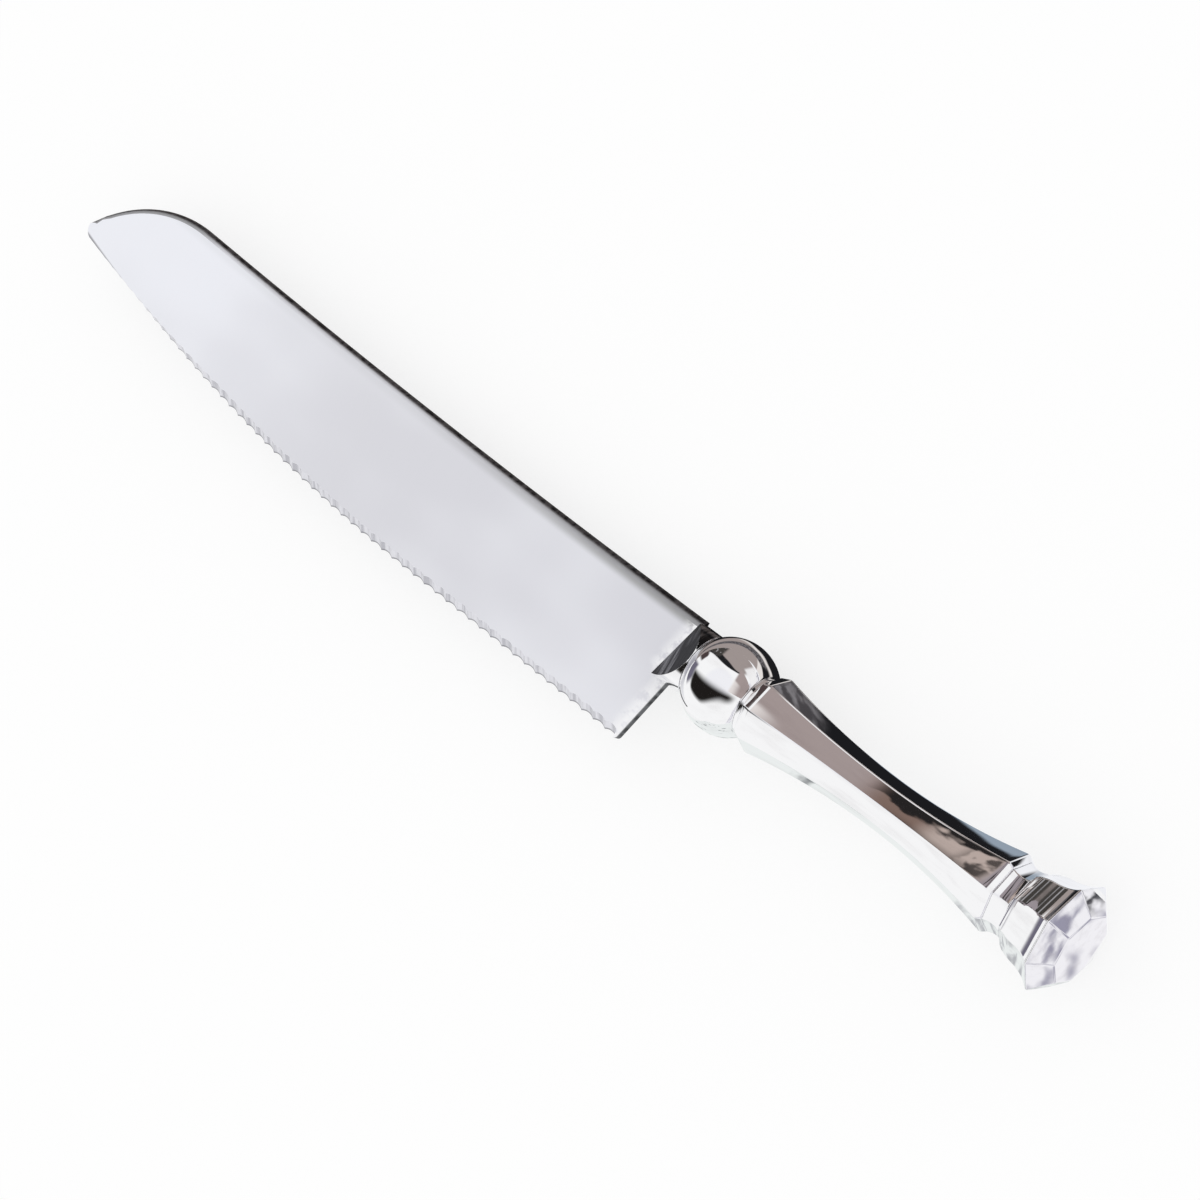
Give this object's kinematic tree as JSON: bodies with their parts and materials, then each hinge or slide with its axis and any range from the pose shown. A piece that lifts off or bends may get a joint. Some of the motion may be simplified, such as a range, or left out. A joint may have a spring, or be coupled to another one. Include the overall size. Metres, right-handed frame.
{
  "type": "serrated knife",
  "caption": "Serrated knife for bread or cake: round-nosed steel blade in a slotted bolster, on a mirror-bright faceted handle with a ball knop, waisted grip and flared pommel.",
  "frame": {"origin": "under the middle of the bounding box, on the plane that the pommel's rim touches when the knife lies on its side", "axes": "+X along the handle from the tip to the pommel, +Y towards the spine, +Z out of the ground face of the blade"},
  "size_m": [0.3176, 0.0374, 0.0262],
  "materials": {
    "blade_steel": "satin",
    "bright_moulding": "polished",
    "plain_steel": "satin",
    "bush_plastic": "matte"
  },
  "bodies": {
    "root": {"blade": "blade_steel", "bolster": "bright_moulding", "tang_rod": "plain_steel", "knop": "bright_moulding", "front_collar": "bright_moulding", "grip": "bright_moulding", "front_bush": "bush_plastic", "rear_bush": "bush_plastic", "rear_collar": "bright_moulding", "pommel": "bright_moulding", "flat_washer": "plain_steel", "spring_washer": "plain_steel", "pommel_nut": "plain_steel", "end_cap": "bright_moulding"}
  },
  "joints": []
}
